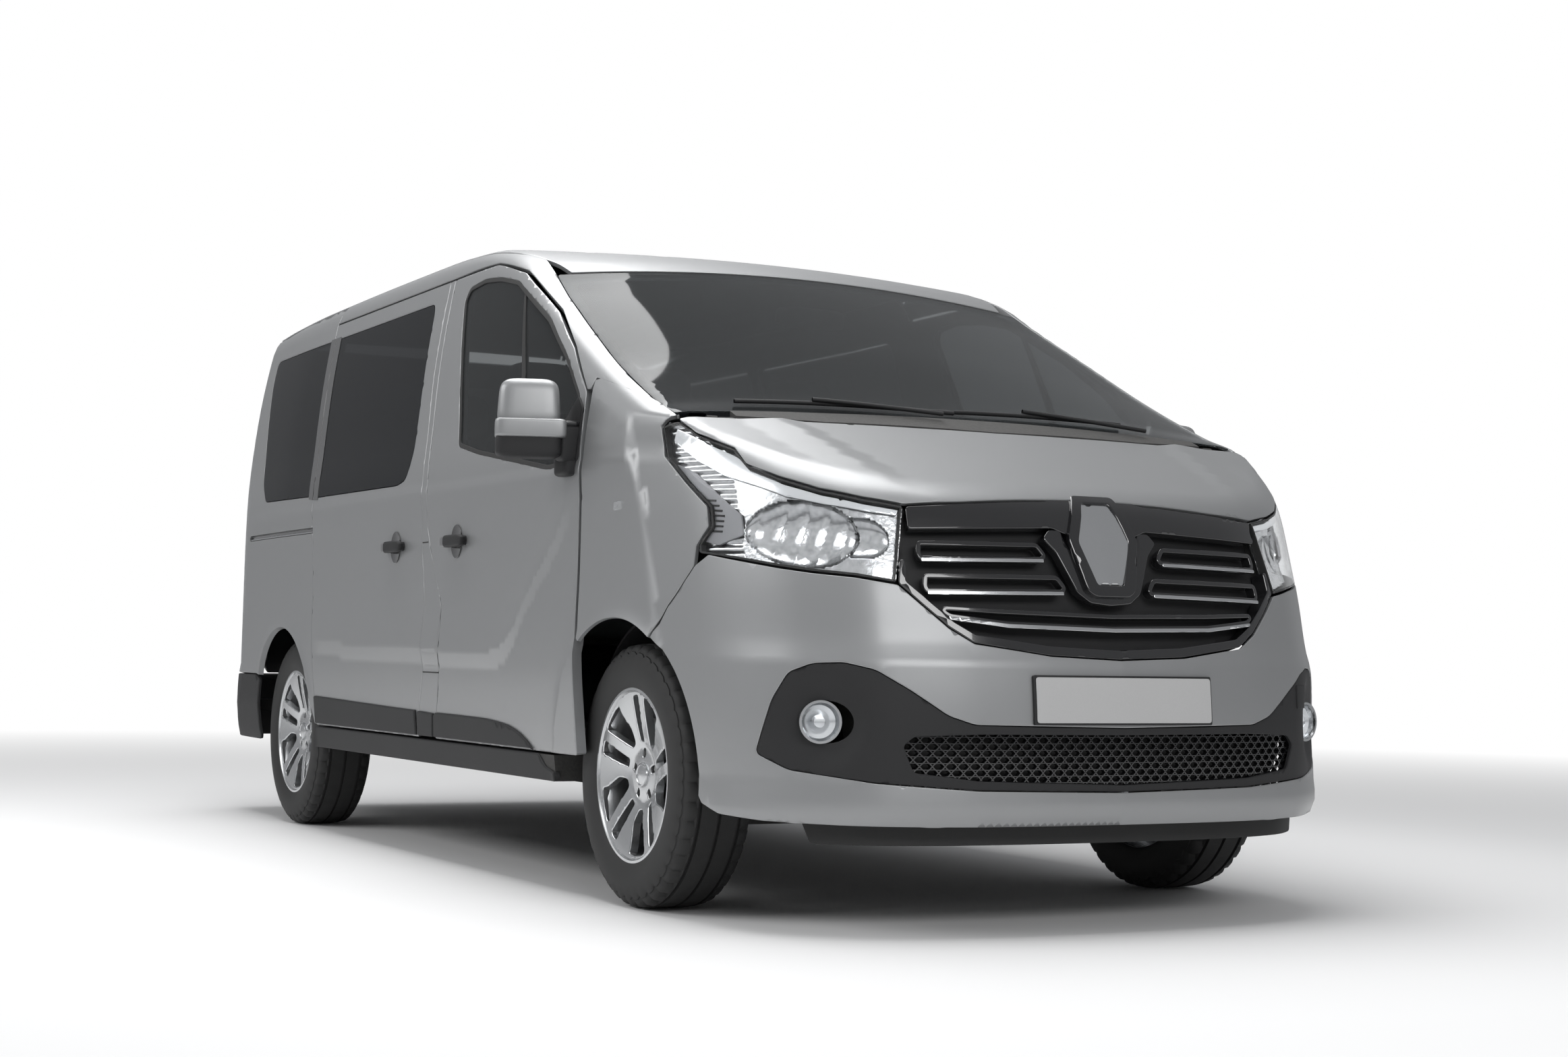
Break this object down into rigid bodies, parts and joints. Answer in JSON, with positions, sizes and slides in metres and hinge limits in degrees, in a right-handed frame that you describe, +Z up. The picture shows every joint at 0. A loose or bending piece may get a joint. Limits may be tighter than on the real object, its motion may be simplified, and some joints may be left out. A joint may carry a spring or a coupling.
{
  "type": "passenger van",
  "caption": "Mid-size passenger van with opening front doors, bonnet and tailgate, a fixed-in-place sliding side door, steering front wheels and a hollow seated cabin.",
  "frame": {"origin": "on the ground under the middle of the van's length and width", "axes": "+Z up, -Y towards the nose, -X towards the van's right-hand side"},
  "size_m": [2.282, 5.006, 1.971],
  "materials": {
    "paint": "metallic gloss",
    "underbody": "matt",
    "screen_glass": "clear",
    "tinted_glass": "dark tint",
    "black_plastic": "grained",
    "lamp_lens": "clear",
    "tail_lens": "gloss",
    "trim": "grained",
    "seat_cloth": "woven",
    "engine_metal": "cast",
    "chassis_steel": "painted",
    "exhaust_steel": "dull",
    "alloy": "satin",
    "tyre": "matt"
  },
  "bodies": {
    "body": {"floor_pan": "underbody", "quarter_panel_right": "paint", "body_side_left": "paint", "roof": "paint", "door_frames": "paint", "engine_bay_frame": "underbody", "windscreen": "screen_glass", "front_wings": "paint", "front_bumper": "paint", "grille": "black_plastic", "headlamps": "lamp_lens", "sliding_door": "paint", "side_windows": "tinted_glass", "tail_lamps": "tail_lens", "rear_bumper": "black_plastic", "wheel_arch_liners": "black_plastic", "dashboard": "trim", "driver_seat": "seat_cloth", "passenger_seat": "seat_cloth", "rear_seats": "seat_cloth", "engine_block": "engine_metal", "front_suspension": "chassis_steel", "rear_axle": "chassis_steel", "fuel_tank": "black_plastic", "exhaust": "exhaust_steel"},
    "bonnet": {"bonnet": "paint"},
    "front_door_right": {"front_door_right": "paint", "door_glass_right": "screen_glass", "mirror_right": "paint"},
    "front_door_left": {"front_door_left": "paint", "door_glass_left": "screen_glass", "mirror_left": "paint"},
    "tailgate": {"tailgate": "paint", "tailgate_glass": "tinted_glass"},
    "knuckle_right": {"knuckle_right": "chassis_steel"},
    "knuckle_left": {"knuckle_left": "chassis_steel"},
    "wheel_front_right": {"rim_front_right": "alloy", "tyre_front_right": "tyre"},
    "wheel_front_left": {"rim_front_left": "alloy", "tyre_front_left": "tyre"},
    "wheel_rear_right": {"rim_rear_right": "alloy", "tyre_rear_right": "tyre"},
    "wheel_rear_left": {"rim_rear_left": "alloy", "tyre_rear_left": "tyre"},
    "steering_wheel": {"steering_wheel": "trim"}
  },
  "joints": [
    {"name": "steer_right", "type": "hinge", "parent": "body", "child": "knuckle_right", "pos_m": [-0.7475, -1.5665, 0.345], "axis": [0, 0, 1], "range_deg": [-33, 33]},
    {"name": "steer_left", "type": "hinge", "parent": "body", "child": "knuckle_left", "pos_m": [0.7475, -1.5665, 0.345], "axis": [0, 0, 1], "range_deg": [-33, 33]},
    {"name": "steering_wheel_turn", "type": "hinge", "parent": "body", "child": "steering_wheel", "pos_m": [0.4, -0.77, 1.045], "axis": [0, 0.9063, 0.4226], "range_deg": [-500, 500]},
    {"name": "roll_front_right", "type": "hinge", "parent": "knuckle_right", "child": "wheel_front_right", "pos_m": [-0.8075, -1.5665, 0.345], "axis": [1, 0, 0], "continuous": true},
    {"name": "roll_front_left", "type": "hinge", "parent": "knuckle_left", "child": "wheel_front_left", "pos_m": [0.8075, -1.5665, 0.345], "axis": [1, 0, 0], "continuous": true},
    {"name": "roll_rear_right", "type": "hinge", "parent": "body", "child": "wheel_rear_right", "pos_m": [-0.814, 1.5315, 0.345], "axis": [1, 0, 0], "continuous": true},
    {"name": "roll_rear_left", "type": "hinge", "parent": "body", "child": "wheel_rear_left", "pos_m": [0.814, 1.5315, 0.345], "axis": [1, 0, 0], "continuous": true},
    {"name": "door_right_swing", "type": "hinge", "parent": "body", "child": "front_door_right", "pos_m": [-0.95, -1.331, 0.81], "axis": [0, 0, 1], "range_deg": [0, 65]},
    {"name": "door_left_swing", "type": "hinge", "parent": "body", "child": "front_door_left", "pos_m": [0.95, -1.331, 0.81], "axis": [0, 0, -1], "range_deg": [0, 65]},
    {"name": "bonnet_lift", "type": "hinge", "parent": "body", "child": "bonnet", "pos_m": [0, -1.784, 1.272], "axis": [-1, 0, 0], "range_deg": [0, 60]},
    {"name": "tailgate_lift", "type": "hinge", "parent": "body", "child": "tailgate", "pos_m": [0, 2.2685, 1.905], "axis": [1, 0, 0], "range_deg": [0, 85]}
  ],
  "couplings": [
    {"joint": "steer_left", "follows": "steer_right", "ratio": 1},
    {"joint": "steering_wheel_turn", "follows": "steer_right", "ratio": 15}
  ]
}
